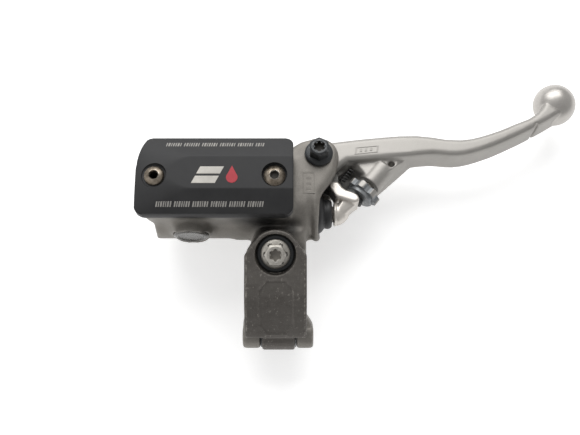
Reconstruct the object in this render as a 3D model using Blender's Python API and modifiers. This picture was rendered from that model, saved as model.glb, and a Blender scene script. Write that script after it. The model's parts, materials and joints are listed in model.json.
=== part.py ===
"""Motorcycle front brake master cylinder with its lever, as an assembly of separate pieces.

Row frame: origin at the centre of the handlebar bore on the clamp's mid-plane, +X along the
handlebar towards the lever's ball end, +Y forward (away from the rider), +Z up, square to the
reservoir cap. Dimensions are in millimetres and are turned into metres by MM.
"""
import math

import bmesh
import bpy
from mathutils import Matrix, Vector

MM = 0.001
GAP = 0.3
WELD = 0.00002

# Handlebar clamp (its own tilted frame: y forward, z up, x along the bar)
CLAMP_TILT = math.radians(20.6)
BAR_R = 11.1
CLAMP_HALF_WIDTH = 13.0
CLAMP_SPLIT = 0.6
CLAMP_BOLT_Y = 16.0
CLAMP_FRONT_Y = 26.0
HINGE_Y = -19.3
HINGE_R = 6.2
TONGUE_R = 6.8
HINGE_PIN_R = 2.2
TONGUE_X = (-5.9, 8.1)
LUGS_X = ((-14.2, -6.4), (8.6, 16.0))
BOLT_SEAT = 8.7
WASHER_R = 8.2
NOSE_R = 9.9

# Cylinder
CYL_Y, CYL_Z = 34.7, -3.0
BORE_R = 6.45
PISTON_R = 6.15
MOUTH_X = 19.7
BANJO_X = -53.4
BANJO_SPOT_R = 10.5
BARREL_R = 11.5
RECESS_R = 9.2
BORE_END_X = -39.0

# Reservoir
RES_X, RES_Y = -25.4, 42.8
RES_TOP = 18.1
RES_BOTTOM = -12.0
RES_SIZE = (64.2, 32.4)
RES_DRAFT = 1.8
CAP_SIZE = (65.6, 34.0)
CAP_BOTTOM, CAP_RIM, CAP_TOP = 20.2, 24.0, 28.3
CAP_FLAT = 14.4
CAP_SCREW_X = (-50.2, -0.4)
CAP_SCREW_Y = 41.8
SCREW_SEAT = 26.0
CAVITY_X = (-45.2, -5.2)
CAVITY_Y = (29.6, 56.0)
CAVITY_FLOOR = 6.6

# Sight glass in the rider-facing wall
GLASS_X, GLASS_Z = -36.5, 5.6
GLASS_FACE_Y = 20.9
GLASS_R = 7.6
GLASS_BOSS_R = 8.9

# Lever, in the pivot's frame (x along the lever, y forward, z along the pivot axis)
LEVER_TILT = math.radians(5.0)
PIVOT_X, PIVOT_ARM = 18.7, 22.9
LEVER_HALF = 7.25
EAR_OUT, EAR_IN = 14.3, 7.95
SHOULDER_X = (2.9, 18.4)
SHOULDER_DEPTH = 11.2
EYE_HALF = 3.0
BALL = (112.5, 33.4)
BALL_R = 9.75
TIP_R = 5.0
ADJ_AT = (19.8, -12.8)
ADJ_DIR = (0.62, 0.7846)
BOSS_R = 5.5
WHEEL_R, WHEEL_HALF = 7.9, 2.5
BOSS_NEAR, BOSS_FAR = 5.2, 16.5
BAND_NEAR = -0.7
HUB_R = 6.0
DOME_X, DOME_R = 25.5, 6.0


def remove_everything():
    for obj in list(bpy.data.objects):
        bpy.data.objects.remove(obj)


def collection(name):
    found = bpy.data.collections.get(name) or bpy.data.collections.new(name)
    if found.name not in bpy.context.scene.collection.children:
        bpy.context.scene.collection.children.link(found)
    return found


remove_everything()
PARTS = collection("brake_master_cylinder")
TOOLS = collection("cutters")


def frame(name, x_axis, y_axis, z_axis, origin):
    """An empty whose axes and origin the pieces of one sub-assembly are drawn in."""
    empty = bpy.data.objects.new(name, None)
    empty.empty_display_size = 0.01
    rotation = Matrix((x_axis, y_axis, z_axis)).transposed().to_4x4()
    empty.matrix_world = Matrix.Translation(Vector(origin) * MM) @ rotation
    TOOLS.objects.link(empty)
    return empty


def tilted(angle):
    """World directions of a frame's y and z after a turn about +X."""
    return (0, math.cos(angle), math.sin(angle)), (0, -math.sin(angle), math.cos(angle))


X = (1, 0, 0)
CLAMP_Y, CLAMP_Z = tilted(CLAMP_TILT)
LEVER_Y, LEVER_Z = tilted(-LEVER_TILT)
PIVOT_AT = Vector((PIVOT_X, CYL_Y, CYL_Z)) + Vector(LEVER_Y) * PIVOT_ARM
ADJ_WORLD = Vector(X) * ADJ_DIR[0] + Vector(LEVER_Y) * ADJ_DIR[1]
ADJ_SIDE = Vector(X) * ADJ_DIR[1] - Vector(LEVER_Y) * ADJ_DIR[0]
ADJ_CENTRE = PIVOT_AT + Vector(X) * ADJ_AT[0] + Vector(LEVER_Y) * ADJ_AT[1]

WORLD = frame("body_frame", X, (0, 1, 0), (0, 0, 1), (0, 0, 0))
CLAMP = frame("clamp_frame", X, CLAMP_Y, CLAMP_Z, (0, 0, 0))
SECTION = frame("clamp_section_frame", CLAMP_Y, CLAMP_Z, X, (0, 0, 0))
CAP_SECTION = frame("cap_section_frame", (0, 1, 0), (0, 0, 1), X, (0, RES_Y, 0))
CYLINDER = frame("cylinder_axis", (0, 1, 0), (0, 0, 1), X, (0, CYL_Y, CYL_Z))
LEVER = frame("lever_pivot", X, LEVER_Y, LEVER_Z, PIVOT_AT)
SHOULDER = frame("ear_shoulder_frame", LEVER_Y, LEVER_Z, X, (0, CYL_Y, CYL_Z))
ADJUSTER = frame("adjuster_axis", ADJ_SIDE, -Vector(LEVER_Z), ADJ_WORLD, ADJ_CENTRE)
GLASS = frame("sight_glass_axis", X, (0, 0, 1), (0, -1, 0), (GLASS_X, GLASS_FACE_Y, GLASS_Z))


def material(name, colour, roughness, metallic=0.0):
    made = bpy.data.materials.new(name)
    made.use_nodes = True
    shader = made.node_tree.nodes["Principled BSDF"]
    shader.inputs["Base Color"].default_value = (*colour, 1)
    shader.inputs["Roughness"].default_value = roughness
    shader.inputs["Metallic"].default_value = metallic
    return made


def placed(name, mesh, parent):
    obj = bpy.data.objects.new(name, mesh)
    TOOLS.objects.link(obj)
    obj.parent = parent
    obj.hide_render = True
    obj.display_type = "WIRE"
    return obj


def meshed(obj, dissolve=False):
    """Turn an object into its evaluated mesh, welded, with its faces pointing out."""
    bpy.context.view_layer.update()
    evaluated = obj.evaluated_get(bpy.context.evaluated_depsgraph_get())
    mesh = bpy.data.meshes.new_from_object(evaluated)
    bm = bmesh.new()
    bm.from_mesh(mesh)
    bmesh.ops.remove_doubles(bm, verts=bm.verts, dist=WELD)
    if dissolve:
        bmesh.ops.dissolve_limit(bm, angle_limit=0.002, verts=bm.verts, edges=bm.edges)
    bmesh.ops.recalc_face_normals(bm, faces=bm.faces)
    bm.to_mesh(mesh)
    bm.free()
    name, parent = obj.name, obj.parent
    bpy.data.objects.remove(obj)
    return placed(name, mesh, parent)


def bevelled(obj, width, segments=2, angle=40):
    """Round the sharp edges of an object and keep the result as its mesh."""
    bevel = obj.modifiers.new("rounded_edges", "BEVEL")
    bevel.width = width * MM
    bevel.segments = segments
    bevel.limit_method = "ANGLE"
    bevel.angle_limit = math.radians(angle)
    return meshed(obj)


def box(name, low, high, parent=None, bevel=0.0, segments=2):
    low, high = Vector(low) * MM, Vector(high) * MM
    bm = bmesh.new()
    bmesh.ops.create_cube(bm, size=1.0)
    for vert in bm.verts:
        vert.co = (low + high) / 2 + Vector(a * b for a, b in zip(vert.co, high - low))
    mesh = bpy.data.meshes.new(name)
    bm.to_mesh(mesh)
    bm.free()
    obj = placed(name, mesh, parent or WORLD)
    return bevelled(obj, bevel, segments) if bevel else obj


def rod(name, radius, low, high, parent, at=(0, 0), sides=32, far_radius=None):
    """A cylinder or cone about the parent's z, from low to high."""
    bm = bmesh.new()
    far = radius if far_radius is None else far_radius
    bmesh.ops.create_cone(bm, cap_ends=True, segments=sides, radius1=radius * MM,
                          radius2=far * MM, depth=(high - low) * MM)
    bmesh.ops.translate(bm, verts=bm.verts, vec=Vector((*at, (low + high) / 2)) * MM)
    mesh = bpy.data.meshes.new(name)
    bm.to_mesh(mesh)
    bm.free()
    return placed(name, mesh, parent)


def hull(name, points, parent):
    """The convex solid round some points."""
    bm = bmesh.new()
    for point in points:
        bm.verts.new(Vector(point) * MM)
    made = bmesh.ops.convex_hull(bm, input=bm.verts)
    inside = [g for g in made["geom_interior"] if isinstance(g, bmesh.types.BMVert)]
    bmesh.ops.delete(bm, geom=inside, context="VERTS")
    mesh = bpy.data.meshes.new(name)
    bm.to_mesh(mesh)
    bm.free()
    return placed(name, mesh, parent)


def sphere(name, radius, at, parent):
    bm = bmesh.new()
    bmesh.ops.create_uvsphere(bm, u_segments=32, v_segments=20, radius=radius * MM)
    bmesh.ops.translate(bm, verts=bm.verts, vec=Vector(at) * MM)
    mesh = bpy.data.meshes.new(name)
    bm.to_mesh(mesh)
    bm.free()
    return placed(name, mesh, parent)


def turned(name, profile, parent, steps=32, at=(0, 0), closed=False):
    """A solid of revolution about the parent's z: profile is (radius, height), top to bottom."""
    bm = bmesh.new()
    verts = [bm.verts.new(Vector((radius, 0, height)) * MM) for radius, height in profile]
    for first, second in zip(verts, verts[1:] + (verts[:1] if closed else [])):
        bm.edges.new((first, second))
    mesh = bpy.data.meshes.new(name)
    bm.to_mesh(mesh)
    bm.free()
    obj = placed(name, mesh, parent)
    screw = obj.modifiers.new("turned", "SCREW")
    screw.steps = screw.render_steps = steps
    screw.use_merge_vertices = True
    screw.merge_threshold = 0.00002
    obj = meshed(obj)
    obj.data.transform(Matrix.Translation(Vector((*at, 0)) * MM))
    return obj


def ring(name, inner, outer, low, high, parent, steps=32, at=(0, 0), corner=0.0):
    """A flat ring about the parent's z, with its outer corners chamfered."""
    profile = [(inner, high), (outer - corner, high), (outer, high - corner),
               (outer, low + corner), (outer - corner, low), (inner, low)]
    if not corner:
        profile = [profile[0], (outer, high), (outer, low), profile[-1]]
    return turned(name, profile, parent, steps, at, closed=True)


def prism(name, outline, low, high, parent, bevel=0.0, segments=2, smooth=(), resolution=4):
    """A flat outline drawn in the parent's x and y, thick from low to high along its z.

    smooth holds the indices of the points that the outline rounds through.
    """
    curve = bpy.data.curves.new(name, "CURVE")
    curve.dimensions = "2D"
    curve.fill_mode = "BOTH"
    curve.extrude = (high - low) / 2 * MM
    curve.resolution_u = resolution
    spline = curve.splines.new("BEZIER")
    spline.bezier_points.add(len(outline) - 1)
    spline.use_cyclic_u = True
    for index, (point, corner) in enumerate(zip(spline.bezier_points, outline)):
        point.co = Vector((*corner, 0)) * MM
        kind = "AUTO" if index in smooth else "VECTOR"
        point.handle_left_type = point.handle_right_type = kind
    obj = placed(name, curve, parent)
    obj = meshed(obj, dissolve=True)
    obj.data.transform(Matrix.Translation((0, 0, (low + high) / 2 * MM)))
    return bevelled(obj, bevel, segments) if bevel else obj


def arc(centre, radius, start, end, count):
    """Points on a circle, from one angle in degrees to another."""
    steps = [math.radians(start + (end - start) * i / (count - 1)) for i in range(count)]
    return [(centre[0] + radius * math.cos(a), centre[1] + radius * math.sin(a)) for a in steps]


def tube(name, points, radius, parent, resolution=1):
    """A round wire through the given points, with its ends closed."""
    curve = bpy.data.curves.new(name, "CURVE")
    curve.dimensions = "3D"
    curve.bevel_depth = radius * MM
    curve.bevel_resolution = resolution
    curve.use_fill_caps = True
    spline = curve.splines.new("POLY")
    spline.points.add(len(points) - 1)
    for point, where in zip(spline.points, points):
        point.co = (*(Vector(where) * MM), 1)
    return meshed(placed(name, curve, parent))


def coil(name, radius, wire, low, high, turns, parent, at=(0, 0), per_turn=12):
    """A round-wire compression spring about the parent's z."""
    count = int(turns * per_turn)
    points = []
    for i in range(count + 1):
        angle = 2 * math.pi * turns * i / count
        height = low + wire + (high - low - 2 * wire) * i / count
        points.append((at[0] + radius * math.cos(angle), at[1] + radius * math.sin(angle), height))
    return tube(name, points, wire, parent)


def boolean(target, tools, operation):
    for tool in tools:
        change = target.modifiers.new(tool.name, "BOOLEAN")
        change.operation = operation
        change.solver = "EXACT"
        change.object = tool
    return target


def join(target, *tools):
    return boolean(target, tools, "UNION")


def cut(target, *tools):
    return boolean(target, tools, "DIFFERENCE")


def part(obj, name, finish):
    """Publish an object as a finished piece of the assembly."""
    obj.name = name
    TOOLS.objects.unlink(obj)
    PARTS.objects.link(obj)
    obj.hide_render = False
    obj.display_type = "TEXTURED"
    obj.data.materials.clear()
    obj.data.materials.append(finish)
    obj.data.shade_smooth()
    obj.data.set_sharp_from_angle(angle=math.radians(35))
    return obj


def hex_corner(across_flats):
    return across_flats / 2 / math.cos(math.pi / 6)


CAST = material("cast_aluminium", (0.2, 0.19, 0.17), 0.55, 0.7)
BLACK_ANODISE = material("black_anodised_aluminium", (0.05, 0.05, 0.052), 0.45, 0.4)
SATIN = material("satin_aluminium", (0.62, 0.6, 0.57), 0.35, 0.9)
STEEL = material("stainless_steel", (0.4, 0.38, 0.34), 0.35, 1.0)
ZINC = material("zinc_plated_steel", (0.5, 0.49, 0.46), 0.32, 1.0)
BLACK_STEEL = material("black_steel", (0.03, 0.032, 0.034), 0.4, 0.6)
RUBBER = material("black_rubber", (0.02, 0.02, 0.02), 0.7)
BLACK_PLASTIC = material("black_plastic", (0.04, 0.04, 0.04), 0.5)
CLEAR = material("clear_lens", (0.6, 0.6, 0.58), 0.08)
SPRING = material("spring_steel", (0.45, 0.45, 0.45), 0.3, 1.0)
BRONZE = material("bronze", (0.45, 0.3, 0.14), 0.4, 1.0)
WHEEL = material("grey_anodised_aluminium", (0.09, 0.1, 0.1), 0.4, 0.7)


def reservoir_block():
    """Drafted tub with rounded corners; the top stays open-edged under the diaphragm."""
    bm = bmesh.new()
    bmesh.ops.create_cube(bm, size=1.0)
    for vert in bm.verts:
        top = vert.co.z > 0
        inset = 0 if top else RES_DRAFT
        vert.co = Vector((RES_X + vert.co.x * (RES_SIZE[0] - 2 * inset),
                          RES_Y + vert.co.y * (RES_SIZE[1] - 2 * inset),
                          RES_TOP if top else RES_BOTTOM)) * MM
    lower = [e for e in bm.edges if min(v.co.z for v in e.verts) < 0]
    bmesh.ops.bevel(bm, geom=lower, offset=4.0 * MM, segments=3, profile=0.5, affect="EDGES")
    mesh = bpy.data.meshes.new("reservoir_tub")
    bm.to_mesh(mesh)
    bm.free()
    return placed("reservoir_tub", mesh, WORLD)


def barrel_casting():
    mouth = [(0, MOUTH_X), (10.7, MOUTH_X), (11.7, MOUTH_X - 0.6), (12.3, 17.8), (12.3, 16.9),
             (11.6, 16.5), (11.1, 15.8)]
    rest = [(BARREL_R, 15.0), (BARREL_R, -18), (10.8, -20), (10.8, BANJO_X), (0, BANJO_X)]
    return turned("barrel", mouth + rest, CYLINDER, steps=40)


def ear_block():
    """Pivot ears: one thick plate with the lever's slot cut through it."""
    outline = [(-16, -22.9), (-16, -2), (-11.5, 4.2), (-7.5, 6.6)]
    outline += arc((0, -0.6), 9.1, 118, -28, 12)
    outline += [(8.4, -7.2), (6.5, -10.7), (3.4, -15.8), (0.8, -19), (0.6, -22.9)]
    ears = prism("ears", outline, -EAR_OUT, EAR_OUT, LEVER, bevel=0.8, segments=1)
    slot = rod("ear_slot_round", 10.8, -EAR_IN, EAR_IN, LEVER, sides=48)
    notch = box("ear_slot_open", (-1.5, -32, -EAR_IN), (26, 0, EAR_IN), LEVER)
    window = box("ear_slot_front", (-2.0, 0, -EAR_IN), (26, 14, EAR_IN), LEVER)
    return cut(ears, slot, notch, window)


def ear_shoulder():
    """Rolls the ears' top plane down over the back of the barrel."""
    steps = [math.radians(90 + 90 * i / 12) for i in range(13)]
    outline = [(SHOULDER_DEPTH * math.cos(a), EAR_OUT * math.sin(a)) for a in steps]
    outline += [(-2, -2), (4, -2), (4, EAR_OUT)]
    return prism("ear_shoulder", outline, *SHOULDER_X, SHOULDER)


def saddle():
    """Lower half of the handlebar clamp, with the stem that joins it to the barrel."""
    outline = [(CLAMP_FRONT_Y, -CLAMP_SPLIT), (CLAMP_FRONT_Y + 0.4, -6), (31, -10), (30, -22),
               (18, -20), (9, -15.2)]
    outline += arc((0, 0), 15.2, -70, -165, 8)
    outline += [(-14.9, -CLAMP_SPLIT - 1.6), (-12.4, -CLAMP_SPLIT)]
    block = prism("saddle", outline, -CLAMP_HALF_WIDTH, CLAMP_HALF_WIDTH, SECTION, bevel=0.8)
    corner = [(-6.2, 27), (-14.5, 13.6), (-20, 36), (-6.2, 36)]
    return cut(block, prism("saddle_corner", corner, -30, 30, CLAMP))


def clamp_plan():
    """The clamp cap seen from above: its front end follows the bolt's ring."""
    nose = arc((0, CLAMP_BOLT_Y + 0.2), NOSE_R, 43, 137, 16)
    side = CLAMP_HALF_WIDTH + 1
    return [(side, -40), (side, 14.0), (11.9, 17.1)] + nose + [(-11.9, 17.1), (-side, 14.0), (-side, -40)]


def hinge_lug(index, span):
    outline = arc((HINGE_Y, 0), HINGE_R, 55, 285, 12) + [(-12.0, -11.4), (-12.2, -5)]
    lug = prism(f"hinge_lug_{index}", outline, span[0], span[1], SECTION, bevel=0.6, segments=1)
    side = 1 if span[0] > 0 else -1
    corner = prism(f"hinge_lug_corner_{index}", [(side * 12.6, -11), (side * 17, -17), (side * 19, -8)],
                   -20, 20, CLAMP)
    return cut(lug, corner)


def master_body():
    body = reservoir_block()
    join(body, barrel_casting(), ear_block(), ear_shoulder(), saddle())
    join(body, *[hinge_lug(i, span) for i, span in enumerate(LUGS_X)])
    join(body, rod("glass_boss", GLASS_BOSS_R, -9.0, 0.0, GLASS, sides=40))
    cut(body,
        box("reservoir_cavity", (CAVITY_X[0], CAVITY_Y[0], CAVITY_FLOOR),
            (CAVITY_X[1], CAVITY_Y[1], RES_TOP + 4), bevel=2.5),
        box("reservoir_sump", (CAVITY_X[0] + 3, 48.2, -7.5), (CAVITY_X[1] - 3, 55.0, RES_TOP + 4),
            bevel=1.5),
        turned("cylinder_bore", [
            (0, MOUTH_X + 3), (13, MOUTH_X + 3), (RECESS_R, MOUTH_X - 0.9), (RECESS_R, 13.7),
            (7.6, 13.7), (7.6, 11.0),
            (BORE_R, 11.0), (BORE_R, BORE_END_X), (1.6, BORE_END_X - 1.5), (1.6, -44), (4.5, -45),
            (4.5, BANJO_X - 3), (0, BANJO_X - 3)], CYLINDER, steps=32),
        rod("banjo_spotface", BANJO_SPOT_R, BANJO_X - 9, BANJO_X, CYLINDER, sides=40),
        rod("inlet_port", 1.6, -8, CAVITY_FLOOR + 3, WORLD, at=(-6.8, CYL_Y), sides=12),
        rod("relief_port", 0.6, -6, CAVITY_FLOOR + 3, WORLD, at=(-13.4, CYL_Y), sides=8),
        rod("bar_bore", BAR_R, -30, 30, SECTION, sides=48),
        rod("tongue_room", TONGUE_R + 0.4, TONGUE_X[0] - 0.5, TONGUE_X[1] + 0.5, SECTION,
            at=(HINGE_Y, 0), sides=32),
        rod("hinge_pin_hole", HINGE_PIN_R + GAP, -30, 30, SECTION, at=(HINGE_Y, 0), sides=20),
        prism("clamp_bolt_slot", arc((0, CLAMP_BOLT_Y), 3.4, 180, 360, 9)
              + arc((0, CLAMP_BOLT_Y + 2.3), 3.4, 0, 180, 9), -14.2, 4, CLAMP),
        rod("pivot_hole", 3.3, -22, 22, LEVER, sides=24),
        rod("glass_seat", GLASS_R + 0.4, -3.4, 3, GLASS, sides=40),
        rod("glass_passage", 3.9, -14, 0, GLASS, at=(0, 1.2), sides=20))
    for index, x in enumerate(CAP_SCREW_X):
        cut(body, rod(f"screw_thread_{index}", 2.3, 6, RES_TOP + 4, WORLD, at=(x, CAP_SCREW_Y),
                      sides=16))
    return part(body, "master_body", CAST)


def plan_prism(name, inset, low, high):
    """The reservoir's plan, smaller by inset all round: square at the right, eased at the left."""
    half_x, half_y = CAP_SIZE[0] / 2 - inset, CAP_SIZE[1] / 2 - inset
    corner = 3.4
    right, left = RES_X + half_x, RES_X - half_x
    front, rear = RES_Y + half_y, RES_Y - half_y
    outline = arc((right - corner, front - corner), corner, 0, 90, 5)
    outline += [(left + 5.6, front), (left + 3.9, front - 1.0), (left + 2.1, front - 4.4),
                (left + 0.7, front - 9), (left, front - 15.5)]
    outline += arc((left + corner, rear + corner), corner, 180, 270, 5)
    outline += arc((right - corner, rear + corner), corner, 270, 360, 5)
    return prism(name, outline, low, high, WORLD)


def reservoir_cap():
    half, flat = CAP_SIZE[1] / 2 + 1, CAP_FLAT / 2
    drop = (CAP_TOP - CAP_RIM) / (CAP_SIZE[1] / 2 - flat)
    outline = [(-half, CAP_BOTTOM), (half, CAP_BOTTOM), (half, CAP_RIM - drop), (flat, CAP_TOP),
               (-flat, CAP_TOP), (-half, CAP_RIM - drop)]
    left, right = RES_X - CAP_SIZE[0] / 2, RES_X + CAP_SIZE[0] / 2
    cap = prism("cap_roof", outline, left - 1, right + 1, CAP_SECTION)
    boolean(cap, [plan_prism("cap_plan", 0, CAP_BOTTOM - 2, CAP_TOP + 2)], "INTERSECT")
    slope = math.radians(17)
    hip = frame("cap_hip", (math.cos(slope), 0, math.sin(slope)), (0, 1, 0),
                (-math.sin(slope), 0, math.cos(slope)), (left, 0, CAP_RIM + 0.9))
    cut(cap, box("cap_hip_cut", (-20, 0, 0), (40, 90, 20), hip),
        box("cap_pocket", (CAVITY_X[0], CAVITY_Y[0], CAP_BOTTOM - 2), (CAVITY_X[1], CAVITY_Y[1], 23.4),
            bevel=1.5))
    for index, x in enumerate(CAP_SCREW_X):
        at = (x, CAP_SCREW_Y)
        cut(cap, rod(f"screw_counterbore_{index}", 5.3, SCREW_SEAT, 32, WORLD, at, 32),
            rod(f"screw_clearance_{index}", 2.4, 15, 32, WORLD, at, 16))
    return part(cap, "reservoir_cap", BLACK_ANODISE)


def diaphragm():
    """Rubber bellows that hangs into the reservoir, its rim clamped as the cap's gasket."""
    rim = plan_prism("diaphragm_rim", 0.25, RES_TOP + GAP, CAP_BOTTOM - GAP)
    low = (CAVITY_X[0] + 0.5, CAVITY_Y[0] + 0.5, 11.8)
    high = (CAVITY_X[1] - 0.5, CAVITY_Y[1] - 0.5, CAP_BOTTOM - GAP)
    join(rim, box("diaphragm_bag", low, high, bevel=1.6))
    inner_low = [v + 1.3 for v in low]
    inner_high = (high[0] - 1.3, high[1] - 1.3, 26)
    cut(rim, box("diaphragm_inside", inner_low, inner_high, bevel=1.0))
    for index, x in enumerate(CAP_SCREW_X):
        cut(rim, rod(f"diaphragm_hole_{index}", 2.6, 10, 26, WORLD, (x, CAP_SCREW_Y), 16))
    return part(rim, "diaphragm", RUBBER)


def diaphragm_plate():
    plate = box("plate", (CAVITY_X[0] + 0.5, CAVITY_Y[0] + 0.5, CAP_BOTTOM + 0.1),
                (CAVITY_X[1] - 0.5, CAVITY_Y[1] - 0.5, 22.2), bevel=0.5, segments=1)
    cut(plate, box("plate_window", (-36, 37, 15), (-14, 48, 30), bevel=1.5))
    return part(plate, "diaphragm_plate", BLACK_PLASTIC)


def baffle_plate():
    """Splash plate over the ports in the reservoir's floor."""
    low, high = CAVITY_FLOOR + GAP, CAVITY_FLOOR + GAP + 0.8
    plate = box("baffle", (-20.5, 32.6, low), (CAVITY_X[1] - 3.0, 44.5, high))
    cut(plate, rod("baffle_hole", 1.4, 0, 12, WORLD, at=(-17.4, 38), sides=12))
    return part(plate, "baffle_plate", STEEL)


def cap_screw(name, x):
    """Button-head socket screw."""
    at = (x, CAP_SCREW_Y)
    seat = SCREW_SEAT + 0.1
    profile = [(0, seat + 2.15), (2.2, seat + 2.1), (3.4, seat + 1.6), (4.25, seat + 0.8),
               (4.25, seat), (1.95, seat), (1.95, 8), (0, 8)]
    screw = turned(name + "_turned", profile, WORLD, 28, at)
    cut(screw, rod(name + "_socket", hex_corner(3.0), seat + 0.6, seat + 5, WORLD, at, 6))
    return part(screw, name, STEEL)


def sight_glass():
    lens = turned("lens", [(0, -0.5), (6.2, -0.5), (GLASS_R - 0.2, -0.9), (GLASS_R - 0.2, -2.3),
                           (0, -2.3)], GLASS, 36)
    return part(lens, "sight_glass", CLEAR)


def sight_glass_seal():
    seal = ring("seal", 5.2, GLASS_R - 0.1, -3.2, -2.5, GLASS, 32)
    return part(seal, "sight_glass_seal", RUBBER)


def clamp_cap():
    """Upper half of the clamp, tongue and all; its rear edge covers the hinge lugs."""
    outline = [(27, CLAMP_SPLIT), (27, 11.4), (24.4, 12.0), (16, 12.4), (9.5, 13.1), (4, 14.0),
               (-1, 14.4), (-6, 13.8), (-10.5, 12.5), (-14.5, 10.8), (-17.5, 9.4), (-19.6, 8.2)]
    outline += arc((HINGE_Y, 0), HINGE_R + 0.6, 94, 20, 9) + [(-12.6, CLAMP_SPLIT)]
    cap = prism("clamp_arch", outline, -CLAMP_HALF_WIDTH, CLAMP_HALF_WIDTH, SECTION, bevel=0.7)
    boolean(cap, [prism("clamp_plan", clamp_plan(), -30, 30, CLAMP)], "INTERSECT")
    tongue_outline = [(-12, 10.4), (-17, 8.6)] + arc((HINGE_Y, 0), TONGUE_R, 80, 300, 14)
    tongue_outline += [(-14.6, -1.4), (-13.0, CLAMP_SPLIT), (-12, CLAMP_SPLIT)]
    join(cap, prism("clamp_tongue", tongue_outline, *TONGUE_X, SECTION, bevel=0.5, segments=1))
    cut(cap,
        rod("cap_bar_bore", BAR_R, -30, 30, SECTION, sides=48),
        rod("bolt_recess", WASHER_R + GAP, BOLT_SEAT - 0.9, 20, CLAMP, (0, CLAMP_BOLT_Y), 36),
        rod("bolt_hole", 3.3, -5, 20, CLAMP, (0, CLAMP_BOLT_Y), 20),
        rod("tongue_pin_hole", HINGE_PIN_R + GAP, -30, 30, SECTION, at=(HINGE_Y, 0), sides=20))
    return part(cap, "clamp_cap", CAST)


def flange_bolt(name, finish, parent, at, seat, tip, head):
    """Hexagon flange bolt with a socket in its head."""
    profile = [(0, seat + 1.6), (5.2, seat + 1.6), (6.2, seat + 0.9), (6.2, seat),
               (2.95, seat), (2.95, tip + 0.6), (2.4, tip), (0, tip)]
    bolt = turned(name + "_turned", profile, parent, 32, at)
    join(bolt, rod(name + "_hexagon", hex_corner(8.0), seat + 0.8, seat + head, parent, at, 6))
    cut(bolt, rod(name + "_socket", 2.2, seat + head - 2.4, seat + head + 4, parent, at, 12))
    return part(bolt, name, finish)


def hinge_pin():
    pin = turned("pin", [(0, 15.7), (1.9, 15.7), (HINGE_PIN_R, 15.4), (HINGE_PIN_R, -13.6),
                         (1.9, -13.9), (0, -13.9)], SECTION, 20, at=(HINGE_Y, 0))
    return part(pin, "clamp_hinge_pin", ZINC)


def pivot_nut():
    nut = rod("nut", hex_corner(10.0), -19.3, -EAR_OUT - GAP, LEVER, sides=6)
    cut(nut, rod("nut_thread", 3.25, -25, -10, LEVER, sides=24))
    return part(nut, "pivot_nut", BLACK_STEEL)


def piston():
    """Two-land piston with a long push rod end; heights run along the cylinder."""
    profile = [(0, 25.2), (3.3, 25.2), (4.0, 24.5), (4.0, 10.2), (PISTON_R, 10.2), (PISTON_R, 7.5),
               (4.6, 7.5), (4.6, 3.5), (PISTON_R, 3.5), (PISTON_R, 1.5), (3.2, 1.5), (3.2, -5.0),
               (PISTON_R, -5.0), (PISTON_R, -7.0), (3.0, -7.0), (3.0, -14.0), (0, -14.0)]
    return part(turned("piston_turned", profile, CYLINDER, 24), "piston", SATIN)


def seals():
    part(ring("cup_a", 3.3, PISTON_R, -11.0, -7.3, CYLINDER, 24, corner=0.4), "primary_cup", RUBBER)
    part(ring("cup_b", 4.9, PISTON_R, 3.8, 7.2, CYLINDER, 24, corner=0.4), "secondary_cup", RUBBER)
    part(ring("washer", 4.4, 7.3, 11.3, 12.0, CYLINDER, 24), "piston_stop_washer", STEEL)
    clip = ring("clip", 5.6, 7.3, 12.3, 13.2, CYLINDER, 24)
    cut(clip, box("clip_gap", (-1.6, 4, 10), (1.6, 9, 15), CYLINDER))
    part(clip, "piston_circlip", SPRING)


def return_spring():
    spring = coil("spring", 4.7, 0.55, BORE_END_X + GAP, -11.3, 6.5, CYLINDER, per_turn=10)
    return part(spring, "return_spring", SPRING)


def boot():
    """Dust boot with one soft fold, its root tucked into the mouth recess."""
    outer = [(8.9, 14.1), (8.9, 18.3), (8.3, 19.6), (7.4, 20.5), (6.3, 21.2), (6.5, 22.0), (6.6, 22.9),
             (6.1, 24.0), (5.2, 24.8)]
    inner = [(4.4, 24.9), (4.4, 22.8), (5.0, 21.8), (5.3, 21.0), (6.6, 19.7), (7.6, 18.9), (7.9, 18.0),
             (7.9, 14.1)]
    sleeve = turned("boot_turned", list(reversed(outer)) + list(reversed(inner)), CYLINDER, 24,
                    closed=True)
    return part(sleeve, "piston_boot", RUBBER)


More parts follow.
